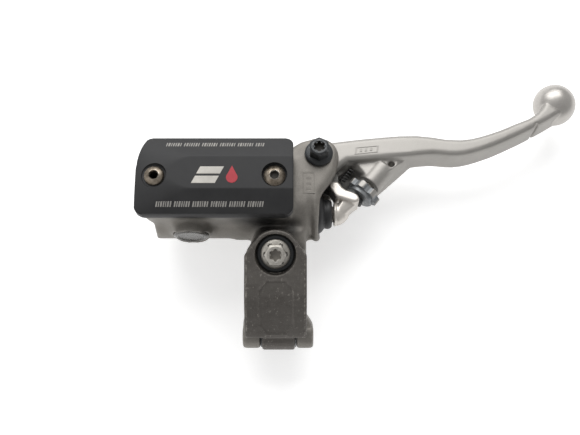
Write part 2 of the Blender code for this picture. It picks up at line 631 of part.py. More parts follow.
def lever():
    """Dog-leg blade with its pivot fork, adjuster boss and round ball end."""
    front = [(7.8, 10.4), (21.8, 12.2), (45.3, 13.8), (65.3, 11.6), (79.3, 15.0),
             (90.6, 19.8), (101.0, 25.0)]
    tip = arc(BALL, TIP_R, 170, -40, 10)
    rear = [(114.4, 26.8), (109.9, 23.6), (102.5, 19.2), (91.9, 13.4), (73.8, 5.5), (63, 3.1), (52.3, 3.8),
            (40.1, 2.6), (30.5, 1.9), (20.5, 0.9), (13.4, 0.4), (9.8, -2.3)]
    root = arc((0, 0), 9.3, -45, -262, 16)
    outline = front + tip + rear + root
    smooth = range(len(front) + len(tip) + 8)
    blade = prism("blade", outline, -LEVER_HALF, LEVER_HALF, LEVER, bevel=2.0, segments=2,
                  smooth=smooth, resolution=3)
    low, high = -LEVER_HALF + 0.2, BOSS_R - 0.9
    foot = [(14.6, -1.5), (23.3, -8.4), (27.2, -11.5), (31.5, -7.4), (34.9, -3.8), (37.4, -1.0),
            (44, 4), (30, 6), (15, 4)]
    ridge = [(22.6, -6.6), (27.0, -7.0), (32.8, -2.6), (35.6, -0.8), (35.0, 1.6), (31.0, 2.5)]
    web = hull("boss_web", [(*p, low) for p in foot] + [(*p, high) for p in ridge]
               + [(15.2, -0.4, 1.0), (16.5, 3, 3.6), (42, 4, 2.0)], LEVER)
    boss = rod("boss", BOSS_R, BOSS_NEAR, BOSS_FAR, ADJUSTER, sides=32)
    ball = sphere("ball", BALL_R, (*BALL, 0), LEVER)
    join(blade, boss, web, ball)
    slot = prism("fork_slot", arc((0, 0), 9.2, 0, 270, 20) + [(0, -16), (14, -16), (14, 0)],
                 -EYE_HALF - GAP, EYE_HALF + GAP, LEVER)
    cut(blade, slot,
        rod("bush_hole", 5.2, -12, 12, LEVER, sides=28),
        rod("screw_bore", 2.5, 0, 15.5, ADJUSTER, sides=20),
        rod("drilled_hole", 1.45, -12, 12, LEVER, at=(33.2, 0.0), sides=16),
        box("break_notch", (-0.9, -1.4, -12), (0.9, 8, 12), frame(
            "notch_frame", Vector(X) * 0.91 + Vector(LEVER_Y) * 0.41,
            Vector(LEVER_Y) * -0.91 + Vector(X) * 0.41, -Vector(LEVER_Z),
            PIVOT_AT + Vector(X) * 101.0 + Vector(LEVER_Y) * 18.4)))
    return part(blade, "brake_lever", SATIN)


def knuckle():
    """Pusher that turns on the lever's pivot: a thin eye, a thick arm and a domed nose."""
    outline = [(4.9, -9.6), (5.8, -12.9), (6.4, -14.6), (7.3, -17.3), (9.2, -18.0), (12.6, -19.2),
               (15.0, -20.0), (16.8, -20.2), (18.3, -18.6), (12.8, -14.2), (10.6, -12.6), (8.9, -9.8)]
    arm = prism("arm", outline, -3.8, LEVER_HALF - 0.2, LEVER, bevel=0.8, segments=1)
    lobe = prism("lobe", [(12.4, -14.0), (15.2, -15.0), (17.2, -16.2), (18.2, -18.4), (16.8, -19.6),
                          (12, -17)], 3.7, LEVER_HALF - 0.2, LEVER, bevel=0.6, segments=1)
    neck = prism("neck", [(7.6, -16.5), (7.9, -22.9), (10.6, -22.9), (13.2, -20.4), (14, -17)],
                 -3.6, 3.6, LEVER, bevel=0.5, segments=1)
    eye = prism("eye", arc((0, 0), 8.7, 0, 270, 20) + [(4.2, -8.9), (5.7, -11.8), (9.5, -11.5), (9.0, -4)],
                -EYE_HALF, EYE_HALF, LEVER)
    dome = [(DOME_R * math.sin(a), DOME_X + DOME_R * (1 - math.cos(a)))
            for a in (math.radians(6 * i) for i in range(7))]
    nose = turned("nose", [(0, 32.8), (1.8, 31.6), (3.9, 28.6), (4.1, 27.6)] + dome[::-1], CYLINDER, 28)
    join(arm, lobe, neck, eye, nose)
    cut(arm, rod("knuckle_bush_hole", 5.2, -12, 12, LEVER, sides=28))
    return part(arm, "knuckle", SATIN)


def pivot_bush():
    bush = ring("bush", 3.25, 4.9, -LEVER_HALF, LEVER_HALF, LEVER, 28)
    return part(bush, "pivot_bush", BRONZE)


def adjuster():
    """Click wheel on its screw, bearing on the knuckle through a pad."""
    lobes, points = 7, []
    for i in range(lobes * 6):
        angle = 2 * math.pi * i / (lobes * 6)
        points.append(((WHEEL_R - 0.7 + 0.7 * math.cos(lobes * angle)) * math.cos(angle),
                       (WHEEL_R - 0.7 + 0.7 * math.cos(lobes * angle)) * math.sin(angle)))
    wheel = prism("wheel", points, BAND_NEAR, WHEEL_HALF, ADJUSTER, bevel=0.4, segments=1)
    join(wheel, rod("hub", HUB_R, -WHEEL_HALF, 1, ADJUSTER, sides=32))
    cut(wheel, rod("wheel_bore", 2.4, -9, 9, ADJUSTER, sides=20))
    part(wheel, "adjuster_wheel", WHEEL)
    screw = rod("screw", 2.1, -WHEEL_HALF, 12.5, ADJUSTER, sides=20)
    part(screw, "adjuster_screw", ZINC)
    pad = rod("pad", 3.2, -5.2, -WHEEL_HALF - GAP, ADJUSTER, sides=20, far_radius=2.6)
    part(pad, "adjuster_pad", BLACK_STEEL)


def knuckle_spring():
    """Small coil that keeps the knuckle against the adjuster pad."""
    spring = coil("small_spring", 1.2, 0.3, -3.3, 5.0, 5, ADJUSTER, at=(-9.9, -3.6), per_turn=10)
    return part(spring, "knuckle_spring", SPRING)


master_body()
reservoir_cap()
diaphragm()
diaphragm_plate()
baffle_plate()
for screw_name, screw_x in zip(("cap_screw_left", "cap_screw_right"), CAP_SCREW_X):
    cap_screw(screw_name, screw_x)
sight_glass()
sight_glass_seal()
clamp_cap()
flange_bolt("clamp_bolt", ZINC, CLAMP, (0, CLAMP_BOLT_Y), BOLT_SEAT + GAP, -13.0, 6.6)
part(ring("ring_washer", 3.3, WASHER_R, BOLT_SEAT - 0.6, BOLT_SEAT, CLAMP, 36,
          (0, CLAMP_BOLT_Y)), "clamp_bolt_washer", BLACK_STEEL)
hinge_pin()
flange_bolt("pivot_bolt", BLACK_STEEL, LEVER, (0, 0), EAR_OUT + GAP, -20.5, 6.2)
pivot_nut()
piston()
seals()
return_spring()
boot()
lever()
knuckle()
pivot_bush()
adjuster()
knuckle_spring()
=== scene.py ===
"""Looks of a motorcycle's front brake master cylinder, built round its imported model.

Every shape is drawn in millimetres in the frame of the sub-assembly it belongs to, and those
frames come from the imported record: the joints' points and axes, and the nodes' own boxes.
"""
import json
import math

import bmesh
import bpy
import numpy as np
from mathutils import Matrix, Vector


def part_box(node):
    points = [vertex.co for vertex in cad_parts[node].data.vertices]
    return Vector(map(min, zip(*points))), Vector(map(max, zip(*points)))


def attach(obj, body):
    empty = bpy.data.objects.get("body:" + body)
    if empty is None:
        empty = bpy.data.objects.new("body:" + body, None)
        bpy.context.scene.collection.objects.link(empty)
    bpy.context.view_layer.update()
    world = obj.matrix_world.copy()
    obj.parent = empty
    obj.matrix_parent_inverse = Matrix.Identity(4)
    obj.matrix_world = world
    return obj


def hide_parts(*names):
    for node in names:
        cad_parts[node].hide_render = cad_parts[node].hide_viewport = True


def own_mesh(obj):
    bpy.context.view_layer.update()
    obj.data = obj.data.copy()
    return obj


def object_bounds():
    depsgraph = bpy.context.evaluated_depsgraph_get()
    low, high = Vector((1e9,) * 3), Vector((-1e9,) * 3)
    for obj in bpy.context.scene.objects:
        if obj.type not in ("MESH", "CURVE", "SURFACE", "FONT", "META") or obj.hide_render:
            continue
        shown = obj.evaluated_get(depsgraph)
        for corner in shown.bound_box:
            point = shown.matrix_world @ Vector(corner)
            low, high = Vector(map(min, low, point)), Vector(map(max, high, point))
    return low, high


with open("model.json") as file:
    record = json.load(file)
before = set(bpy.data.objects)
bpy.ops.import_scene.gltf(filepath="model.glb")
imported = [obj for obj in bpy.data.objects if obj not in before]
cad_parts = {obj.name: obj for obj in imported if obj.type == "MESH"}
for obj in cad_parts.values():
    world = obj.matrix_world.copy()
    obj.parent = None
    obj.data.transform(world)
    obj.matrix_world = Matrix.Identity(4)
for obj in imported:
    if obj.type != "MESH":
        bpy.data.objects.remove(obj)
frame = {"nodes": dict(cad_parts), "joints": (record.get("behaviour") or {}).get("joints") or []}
CAD_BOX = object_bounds()

MM = 0.001
X = Vector((1, 0, 0))
JOINTS = {joint["name"]: joint for joint in frame["joints"]}


# ---------------------------------------------------------------- frames

def axes(x, y, z, origin):
    """Takes millimetres along x, y and z from origin to metres in the row frame."""
    turn = Matrix((x, y, z)).transposed().to_4x4()
    return Matrix.Translation(origin) @ turn @ Matrix.Scale(MM, 4)


def centre(node):
    low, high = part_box(node)
    return (low + high) / 2


HINGE = Vector(JOINTS["clamp_open"]["pos_m"])
PIVOT = Vector(JOINTS["lever_pull"]["pos_m"])
LEVER_Z = -Vector(JOINTS["lever_pull"]["axis"]).normalized()
LEVER_Y = LEVER_Z.cross(X)
CLAMP_Y = -HINGE.normalized()
CLAMP_Z = X.cross(CLAMP_Y)
ADJ_Z = Vector(JOINTS["adjuster_turn"]["axis"]).normalized()
ADJ_X = (-LEVER_Z).cross(ADJ_Z)
CYL_AT = centre("primary_cup")
GLASS_AT = centre("sight_glass")

BODY = axes(X, (0, 1, 0), (0, 0, 1), (0, 0, 0))
CLAMP = axes(X, CLAMP_Y, CLAMP_Z, (0, 0, 0))
SECTION = axes(CLAMP_Y, CLAMP_Z, X, (0, 0, 0))
CYLINDER = axes((0, 1, 0), (0, 0, 1), X, (0, CYL_AT.y, CYL_AT.z))
LEVER = axes(X, LEVER_Y, LEVER_Z, PIVOT)
ADJUSTER = axes(ADJ_X, -LEVER_Z, ADJ_Z, Vector(JOINTS["adjuster_turn"]["pos_m"]))
GLASS = axes(X, (0, 0, 1), (0, -1, 0), (GLASS_AT.x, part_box("sight_glass")[0].y, GLASS_AT.z))


# ---------------------------------------------------------------- mesh helpers

def piece(name, mesh):
    obj = bpy.data.objects.new(name, mesh)
    bpy.context.scene.collection.objects.link(obj)
    return obj


def from_bmesh(name, bm, place=None):
    bmesh.ops.recalc_face_normals(bm, faces=bm.faces)
    mesh = bpy.data.meshes.new(name)
    bm.to_mesh(mesh)
    bm.free()
    if place is not None:
        mesh.transform(place)
    return piece(name, mesh)


def applied(obj):
    """Keep an object's modifiers as its mesh."""
    bpy.context.view_layer.update()
    evaluated = obj.evaluated_get(bpy.context.evaluated_depsgraph_get())
    mesh = bpy.data.meshes.new_from_object(evaluated)
    obj.modifiers.clear()
    obj.data = mesh
    return obj


def arc(middle, radius, start, end, count):
    steps = [math.radians(start + (end - start) * i / (count - 1)) for i in range(count)]
    return [(middle[0] + radius * math.cos(a), middle[1] + radius * math.sin(a)) for a in steps]


def eased(points, radius, count=4, closed=False):
    """A path with each corner rounded, by at most radius along its two sides."""
    path = [Vector(p) for p in points]
    last = len(path) - 1
    out = []
    for i, here in enumerate(path):
        if not closed and i in (0, last):
            out.append(tuple(here))
            continue
        before, after = path[i - 1], path[(i + 1) % len(path)]
        back, ahead = before - here, after - here
        reach = min(radius, back.length * 0.45, ahead.length * 0.45)
        if back.angle(ahead, math.pi) > math.radians(172) or reach < 1e-4:
            out.append(tuple(here))
            continue
        start, end = here + back.normalized() * reach, here + ahead.normalized() * reach
        for k in range(count + 1):
            t = k / count
            out.append(tuple(start * (1 - t) ** 2 + here * 2 * t * (1 - t) + end * t * t))
    return out


def turned(name, profile, place, steps=96, at=(0, 0), closed=False):
    """A solid of revolution about the frame's z; profile is (radius, height)."""
    bm = bmesh.new()
    turns = [(math.cos(2 * math.pi * i / steps), math.sin(2 * math.pi * i / steps))
             for i in range(steps)]
    rows = []
    for radius, height in profile:
        if radius < 1e-6:
            rows.append([bm.verts.new((*at, height))] * steps)
        else:
            rows.append([bm.verts.new((at[0] + radius * c, at[1] + radius * s, height))
                         for c, s in turns])
    for upper, lower in zip(rows, rows[1:] + (rows[:1] if closed else [])):
        for i in range(steps):
            j = (i + 1) % steps
            corners = list(dict.fromkeys((upper[i], upper[j], lower[j], lower[i])))
            if len(corners) > 2:
                bm.faces.new(corners)
    return from_bmesh(name, bm, place)


def hull(name, points):
    """The tightest convex solid round some points in the row frame."""
    bm = bmesh.new()
    for point in points:
        bm.verts.new(point)
    made = bmesh.ops.convex_hull(bm, input=bm.verts)
    inside = {item for key in ("geom_interior", "geom_unused") for item in made[key]
              if isinstance(item, bmesh.types.BMVert)}
    bmesh.ops.delete(bm, geom=list(inside), context="VERTS")
    return from_bmesh(name, bm)


def prism(name, outline, low, high, place, rim=0.0, segments=3):
    """A flat outline in the frame's x and y made thick along z, its two rims rounded."""
    bm = bmesh.new()
    lower = [bm.verts.new((*p, low)) for p in outline]
    upper = [bm.verts.new((*p, high)) for p in outline]
    caps = [bm.faces.new(lower[::-1]), bm.faces.new(upper)]
    for i, here in enumerate(lower):
        j = (i + 1) % len(lower)
        bm.faces.new((here, lower[j], upper[j], upper[i]))
    if rim:
        edges = [edge for cap in caps for edge in cap.edges]
        bmesh.ops.bevel(bm, geom=edges, offset=rim, segments=segments, profile=0.5,
                        affect="EDGES", clamp_overlap=True)
    return from_bmesh(name, bm, place)


def joined(objects):
    """One object that holds the meshes of several."""
    bm = bmesh.new()
    for obj in objects:
        bm.from_mesh(obj.data)
    name = objects[0].name
    for obj in objects:
        bpy.data.objects.remove(obj)
    return from_bmesh(name, bm)


def combine(target, tools, operation="DIFFERENCE"):
    for tool in tools:
        change = target.modifiers.new("combine", "BOOLEAN")
        change.operation = operation
        change.solver = "EXACT"
        change.object = tool
    applied(target)
    for tool in tools:
        bpy.data.objects.remove(tool)
    return target


def points_of(obj):
    co = np.empty(len(obj.data.vertices) * 3)
    obj.data.vertices.foreach_get("co", co)
    return co.reshape(-1, 3)


def set_points(obj, co):
    obj.data.vertices.foreach_set("co", co.ravel())
    obj.data.update()


def smoothed(obj, rounds, free=None):
    """Relax a mesh; free gives how much each point may move, from 0 to 1."""
    co = points_of(obj)
    ends = np.empty(len(obj.data.edges) * 2, int)
    obj.data.edges.foreach_get("vertices", ends)
    a, b = ends.reshape(-1, 2).T
    count = len(co)
    share = 1.0 / np.maximum(np.bincount(a, minlength=count) + np.bincount(b, minlength=count), 1)
    pull = 0.5 * (np.ones(count) if free is None else free(co))
    for _ in range(rounds):
        for k in range(3):
            mean = (np.bincount(a, co[b, k], count) + np.bincount(b, co[a, k], count)) * share
            co[:, k] += pull * (mean - co[:, k])
    set_points(obj, co)
    return obj


def welded(name, node):
    """A copy of a CAD node's mesh as one closed surface."""
    bm = bmesh.new()
    bm.from_mesh(frame["nodes"][node].data)
    bmesh.ops.remove_doubles(bm, verts=bm.verts, dist=1e-6)
    return from_bmesh(name, bm)


def remeshed(obj, voxel):
    change = obj.modifiers.new("even", "REMESH")
    change.mode = "VOXEL"
    change.voxel_size = voxel * MM
    change.use_smooth_shade = True
    return applied(obj)


def local(co, place):
    """Points in the row frame, as millimetres in one of the frames above."""
    inverse = np.array(place.inverted())
    return co @ inverse[:3, :3].T + inverse[:3, 3]


def ramp(value, low, high):
    """0 below low, 1 above high, smooth between."""
    t = np.clip((value - low) / (high - low), 0, 1)
    return t * t * (3 - 2 * t)


def face_middles(obj, place):
    at = np.empty(len(obj.data.polygons) * 3)
    obj.data.polygons.foreach_get("center", at)
    return local(at.reshape(-1, 3), place)


def smooth_shade(obj, angle=32):
    obj.data.shade_smooth()
    obj.data.set_sharp_from_angle(angle=math.radians(angle))
    return obj


# ---------------------------------------------------------------- materials

class Look:
    """A procedural material on one Principled shader, with helpers to wire it."""

    def __init__(self, name, **sockets):
        self.material = bpy.data.materials.new(name)
        self.material.use_nodes = True
        self.tree = self.material.node_tree
        self.shader = self.tree.nodes["Principled BSDF"]
        for socket, value in sockets.items():
            self.shader.inputs[socket.replace("_", " ")].default_value = value
        self.at = self.node("ShaderNodeTexCoord").outputs["Object"]

    def node(self, kind, settings=(), **inputs):
        made = self.tree.nodes.new(kind)
        for key, value in dict(settings).items():
            setattr(made, key, value)
        for key, value in inputs.items():
            self.put(made.inputs[key.replace("_", " ")], value)
        return made

    def put(self, socket, value):
        if isinstance(value, bpy.types.NodeSocket):
            self.tree.links.new(value, socket)
        else:
            socket.default_value = value

    def noise(self, size, detail=3.0, roughness=0.6, stretch=(1, 1, 1), turn=(0, 0, 0)):
        """Noise with features about size millimetres across, longer where stretch is above 1."""
        where = self.node("ShaderNodeMapping", Vector=self.at, Rotation=turn,
                          Scale=[1 / (size * MM * s) for s in stretch]).outputs["Vector"]
        return self.node("ShaderNodeTexNoise", Vector=where, Scale=1.0, Detail=detail,
                         Roughness=roughness).outputs["Fac"]

    def span(self, value, low, high, to_low=0.0, to_high=1.0):
        made = self.node("ShaderNodeMapRange", Value=value)
        for key, number in (("From Min", low), ("From Max", high), ("To Min", to_low),
                            ("To Max", to_high)):
            made.inputs[key].default_value = number
        return made.outputs["Result"]

    def maths(self, operation, a, b=0.5):
        made = self.node("ShaderNodeMath", {"operation": operation})
        self.put(made.inputs[0], a)
        self.put(made.inputs[1], b)
        return made.outputs[0]

    def mix(self, factor, a, b):
        made = self.node("ShaderNodeMix", {"data_type": "RGBA"})
        self.put(made.inputs["Factor"], factor)
        for socket, value in ((made.inputs[6], a), (made.inputs[7], b)):
            self.put(socket, (*value, 1) if isinstance(value, tuple) else value)
        return made.outputs[2]

    def edges(self, low=0.52, high=0.6):
        """Where the surface turns outwards sharply."""
        return self.span(self.node("ShaderNodeNewGeometry").outputs["Pointiness"], low, high)

    def band(self, at, width):
        """1 where the distance from the part's middle plane is about at millimetres."""
        side = self.maths("ABSOLUTE", self.node("ShaderNodeSeparateXYZ", Vector=self.at).outputs["X"])
        away = self.maths("ABSOLUTE", self.maths("SUBTRACT", side, at * MM))
        return self.span(away, 0.0, width * MM, 1.0, 0.0)

    def near(self, point, radius):
        """1 at a point, given in metres, fading to 0 at radius millimetres."""
        away = self.node("ShaderNodeVectorMath", {"operation": "DISTANCE"})
        self.put(away.inputs[0], self.at)
        away.inputs[1].default_value = point
        return self.span(away.outputs["Value"], 0.35 * radius * MM, radius * MM, 1.0, 0.0)

    def tone(self, colour=None, roughness=None, bump=None, height=0.02):
        if colour is not None:
            self.put(self.shader.inputs["Base Color"], colour)
        if roughness is not None:
            self.put(self.shader.inputs["Roughness"], roughness)
        if bump is not None:
            made = self.node("ShaderNodeBump", Height=bump, Distance=height * MM, Strength=1.0)
            self.tree.links.new(made.outputs["Normal"], self.shader.inputs["Normal"])
        return self.material


# The near black that spots of painted shade darken a casting towards.
SHADE_BLACK = (0.012, 0.012, 0.012)


def cast_metal(name, dark, light, bright, metallic, rough=(0.42, 0.58), wear=0.6, sides=None,
               grime_and_shade=()):
    """Blasted die casting under a thin grey finish, worn bright on its edges.

    sides is how far from the middle plane its two side faces' rims lie, which wear and nick too;
    the last argument lists spots of painted shade, each a point in metres and a radius in millimetres.
    """
    look = Look(name, Metallic=metallic)
    cloud, mottle, grain = look.noise(16, 4), look.noise(2.6, 4), look.noise(0.42, 2, 0.5)
    blend = look.maths("ADD", look.maths("MULTIPLY", cloud, 0.5), look.maths("MULTIPLY", mottle, 0.5))
    base = look.mix(look.span(blend, 0.36, 0.64), dark, light)
    base = look.mix(look.span(grain, 0.35, 0.75, 0.0, 0.3), base, tuple(c * 1.45 for c in light))
    chips = look.span(look.noise(1.3, 5, 0.7), 0.46, 0.66)
    edge = look.edges(0.518, 0.56)
    if sides:
        edge = look.maths("MAXIMUM", edge, look.band(sides, 0.4))
        nicks = look.span(look.noise(1.1, 3, 0.6, (1, 3.5, 1), (0, 0, 0.6)), 0.6, 0.67, 0.0, 0.7)
        fine = look.span(look.noise(0.7, 2, 0.5), 0.62, 0.7, 0.0, 0.4)
        edge = look.maths("MAXIMUM", edge, look.maths("ADD", nicks, fine))
    worn = look.maths("MULTIPLY", look.maths("MULTIPLY", edge, chips), wear)
    base = look.mix(worn, base, bright)
    # Painted shade: round each spot the casting darkens towards black, where deep valleys and the lid's
    # lip throw shade.
    for point, radius in grime_and_shade:
        shade_mask = look.maths("MULTIPLY", look.near(point, radius), look.span(mottle, 0.2, 0.7, 0.95, 0.7))
        base = look.mix(shade_mask, base, SHADE_BLACK)
    roughness = look.span(mottle, 0.3, 0.7, *rough)
    return look.tone(base, roughness, look.maths("ADD", grain, look.maths("MULTIPLY", mottle, 0.5)), 0.035)


def plain_metal(name, dark, light, metallic, rough, grain=0.3, height=0.008, stretch=(1, 1, 1),
                turn=(0, 0, 0), wear=0.0, bright=(0.8, 0.78, 0.74), cloud=8):
    """Metal with a fine directional or even grain and slow changes of tone."""
    look = Look(name, Metallic=metallic)
    fine = look.noise(grain, 3, 0.55, stretch, turn)
    slow = look.noise(cloud, 4)
    base = look.mix(look.span(slow, 0.32, 0.68), dark, light)
    base = look.mix(look.span(fine, 0.3, 0.7, 0.0, 0.22), base, tuple(min(c * 1.3, 1) for c in light))
    if wear:
        chips = look.span(look.noise(0.9, 5, 0.7), 0.42, 0.62, 0.0, wear)
        base = look.mix(look.maths("MULTIPLY", look.edges(0.53, 0.62), chips), base, bright)
    roughness = look.span(look.maths("ADD", look.maths("MULTIPLY", fine, 0.5),
                                     look.maths("MULTIPLY", slow, 0.5)), 0.3, 0.7, *rough)
    return look.tone(base, roughness, fine, height)


def moulded(name, dark, light, rough, grain=0.35, height=0.02, **sockets):
    """Rubber or plastic with a fine moulded skin."""
    look = Look(name, **sockets)
    skin, slow = look.noise(grain, 3), look.noise(5, 4)
    base = look.mix(look.span(slow, 0.3, 0.7), dark, light)
    return look.tone(base, look.span(skin, 0.3, 0.7, *rough), skin, height)


# Spots of painted shade on the casting: the valley between saddle and barrel, and the reservoir wall under
# the lid's edge.
PAINTED_SHADE_SPOTS = ((CLAMP @ Vector((-4, 27.5, 1)), 9), (CLAMP @ Vector((6, 26.5, -1)), 6),
         (BODY @ Vector((-9, 27, 14)), 13))
CAST = cast_metal("cast_grey", (0.175, 0.163, 0.146), (0.232, 0.218, 0.197), (0.62, 0.6, 0.56), 0.55,
                  grime_and_shade=PAINTED_SHADE_SPOTS)
CAST_CLAMP = cast_metal("cast_clamp_grey", (0.088, 0.08, 0.072), (0.118, 0.109, 0.099),
                        (0.45, 0.42, 0.38), 0.55, wear=0.85, sides=12.1)
ANODISED = plain_metal("black_anodise", (0.021, 0.021, 0.022), (0.029, 0.029, 0.03), 0.3,
                       (0.5, 0.6), grain=0.35, height=0.010)
LEVER_SATIN = plain_metal("satin_lever", (0.32, 0.308, 0.288), (0.39, 0.375, 0.353), 0.75,
                          (0.42, 0.54), grain=0.4, height=0.014, cloud=14)
BRIGHT = plain_metal("bright_aluminium", (0.54, 0.51, 0.47), (0.65, 0.615, 0.57), 0.7, (0.3, 0.44),
                     grain=0.25, height=0.006)
MACHINED = plain_metal("machined_aluminium", (0.5, 0.49, 0.47), (0.62, 0.61, 0.59), 0.9, (0.25, 0.38),
                       grain=0.2, stretch=(0.4, 5, 5), height=0.006)
WHEEL_GREY = plain_metal("grey_anodise", (0.18, 0.19, 0.2), (0.255, 0.265, 0.272), 0.6, (0.34, 0.46),
                         grain=0.3, wear=0.4)
STAINLESS = plain_metal("aged_stainless", (0.12, 0.095, 0.07), (0.36, 0.31, 0.25), 0.9, (0.24, 0.44),
                        grain=0.5, wear=0.9, cloud=2.2, height=0.012)
ZINC = plain_metal("zinc_plate", (0.4, 0.38, 0.345), (0.53, 0.505, 0.46), 0.9, (0.38, 0.52), grain=0.5,
                   wear=0.5, cloud=3, height=0.01)
BLACK_STEEL = plain_metal("black_oxide", (0.03, 0.032, 0.034), (0.045, 0.048, 0.05), 0.5, (0.3, 0.45),
                          grain=0.4, wear=0.35, bright=(0.3, 0.3, 0.3))
SPRING = plain_metal("spring_wire", (0.05, 0.05, 0.05), (0.09, 0.09, 0.09), 0.8, (0.4, 0.52),
                     grain=0.3)
BRONZE = plain_metal("sintered_bronze", (0.32, 0.2, 0.09), (0.46, 0.31, 0.15), 0.95, (0.36, 0.5),
                     grain=0.3)
RUBBER = moulded("black_rubber", (0.014, 0.014, 0.015), (0.024, 0.024, 0.025), (0.42, 0.56))
SOCKET_GRIME = moulded("socket_grime", (0.02, 0.017, 0.013), (0.05, 0.042, 0.033), (0.55, 0.8),
                       grain=0.5)
SOCKET_DUST = moulded("socket_dust", (0.24, 0.222, 0.198), (0.42, 0.395, 0.355), (0.5, 0.7), grain=0.5)
POLISHED = plain_metal("polished_ball", (0.43, 0.412, 0.388), (0.52, 0.498, 0.47), 0.8, (0.34, 0.44),
                       grain=0.5, height=0.006)
SATIN_MARK = plain_metal("satin_mark", (0.25, 0.24, 0.225), (0.32, 0.305, 0.288), 0.75, (0.42, 0.54))
CAST_MARK = plain_metal("cast_grey_mark", (0.165, 0.154, 0.138), (0.21, 0.197, 0.178), 0.55, (0.45, 0.6),
                        height=0.02)
# Painted shade: a darker grey for lever and pusher faces that lie in shade.
SHADE_GREY = plain_metal("painted_shade_grey", (0.09, 0.088, 0.083), (0.15, 0.146, 0.138), 0.7, (0.4, 0.55))
PRINT_WHITE = moulded("print_white", (0.5, 0.48, 0.44), (0.64, 0.61, 0.56), (0.4, 0.6), height=0.004)
PRINT_FADED = moulded("print_faded", (0.26, 0.25, 0.235), (0.36, 0.345, 0.32), (0.4, 0.6), height=0.004)
PRINT_RED = moulded("print_red", (0.36, 0.018, 0.03), (0.45, 0.03, 0.045), (0.4, 0.6), height=0.004)
PLASTIC = moulded("black_plastic", (0.03, 0.03, 0.031), (0.045, 0.045, 0.046), (0.4, 0.52))


def clear_lens():
    look = Look("clear_lens", IOR=1.49, Transmission_Weight=0.6)
    haze = look.noise(2.5, 4)
    return look.tone(look.mix(look.span(haze, 0.3, 0.7), (0.2, 0.19, 0.175), (0.27, 0.26, 0.24)),
                     look.span(haze, 0.3, 0.7, 0.14, 0.24), look.noise(1.6, 2), 0.002)


LENS = clear_lens()


def finish(obj, body, slot, looks, *nodes):
    """Give a new piece its material and body, and hide the CAD nodes it stands for."""
    if not obj.data.materials:
        for look in looks if isinstance(looks, tuple) else (looks,):
            obj.data.materials.append(look)
    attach(obj, body)
    if nodes:
        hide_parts(*nodes)
    return obj


def repaint(look, *nodes):
    for name in nodes:
        mesh = frame["nodes"][name].data
        for slot in frame["nodes"][name].material_slots:
            slot.material = look
        if not mesh.materials:
            mesh.materials.append(look)


repaint(STAINLESS, "baffle_plate", "piston_stop_washer")
repaint(RUBBER, "diaphragm", "sight_glass_seal", "primary_cup", "secondary_cup")
repaint(PLASTIC, "diaphragm_plate")
repaint(ZINC, "clamp_hinge_pin", "adjuster_screw")
repaint(SPRING, "piston_circlip")
repaint(BRONZE, "pivot_bush")
repaint(BLACK_STEEL, "pivot_nut", "adjuster_pad")
repaint(MACHINED, "piston")


# ---------------------------------------------------------------- castings

BAR_R = 11.1
BORE_R = 6.45
BODY_VOXEL, ARCH_VOXEL, BLADE_VOXEL, ARM_VOXEL = 0.58, 0.34, 0.36, 0.25
BALL_AT, BALL_R = (112.5, 33.4, 0.0), 9.75
LEVER_TOP = 7.3
EAR_TOP = 14.25
CLAMP_BOLT_AT = (0, 16.0)
FLUTE_X, FLUTE_DEEP = 14.8, 1.1
PANEL_DEEP, PANEL_LIP = 0.42, 0.10
EYE_TOP, EYE_END_Y = 6.2, -17.0


def body_casting():
    """Reservoir, barrel, pivot ears and saddle in one casting with soft cast edges."""
    body = remeshed(welded("body_casting", "master_body"), BODY_VOXEL)

    def free(co):
        """Everything but the handlebar's bore, which keeps its radius."""
        at = local(co, SECTION)
        bore = np.abs(np.hypot(at[:, 0], at[:, 1]) - BAR_R)
        return ramp(bore, 0.3, 1.2)

    smoothed(body, 9, free)

    def ledge(co):
        """The valley between saddle and reservoir, which is softer than the other edges."""
        at = local(co, CLAMP)
        deep = ramp(at[:, 2], -16, -11) * (1 - ramp(at[:, 2], 1, 4))
        return ramp(at[:, 1], 19.5, 22) * deep * free(co)

    smoothed(body, 70, ledge)
    co = points_of(body)
    round_axis, above = local(co, CYLINDER), local(co, LEVER)
    reach = np.hypot(round_axis[:, 0], round_axis[:, 1])
    flute = np.exp(-((round_axis[:, 2] - FLUTE_X) / 1.5) ** 2) * (1 - ramp(above[:, 1], -27, -18))
    flute *= ramp(reach, 10.0, 10.8) * (1 - ramp(reach, 14.5, 15.5)) * (above[:, 2] > 0)
    inward = np.array(CYL_AT)[None] - co
    inward[:, 0] = 0
    inward /= np.maximum(np.linalg.norm(inward, axis=1), 1e-9)[:, None]
    co = co + inward * (FLUTE_DEEP * flute * MM)[:, None]
    bored = (np.abs(reach - BORE_R) < 0.9) & (round_axis[:, 2] > -38) & (round_axis[:, 2] < 10.4)
    co[bored] -= inward[bored] * np.maximum(BORE_R + 0.05 - reach[bored], 0)[:, None] * MM
    set_points(body, co)
    return finish(body, "housing", "cast_body", CAST, "master_body")


def convex_depth(at, outline):
    """How far each point lies inside a convex outline given anticlockwise; negative outside."""
    best = np.full(len(at), 1e9)
    for a, b in zip(outline, outline[1:] + outline[:1]):
        a, b = np.array(a), np.array(b)
        along = (b - a) / np.linalg.norm(b - a)
        best = np.minimum(best, (at[:, 1] - a[1]) * along[0] - (at[:, 0] - a[0]) * along[1])
    return best


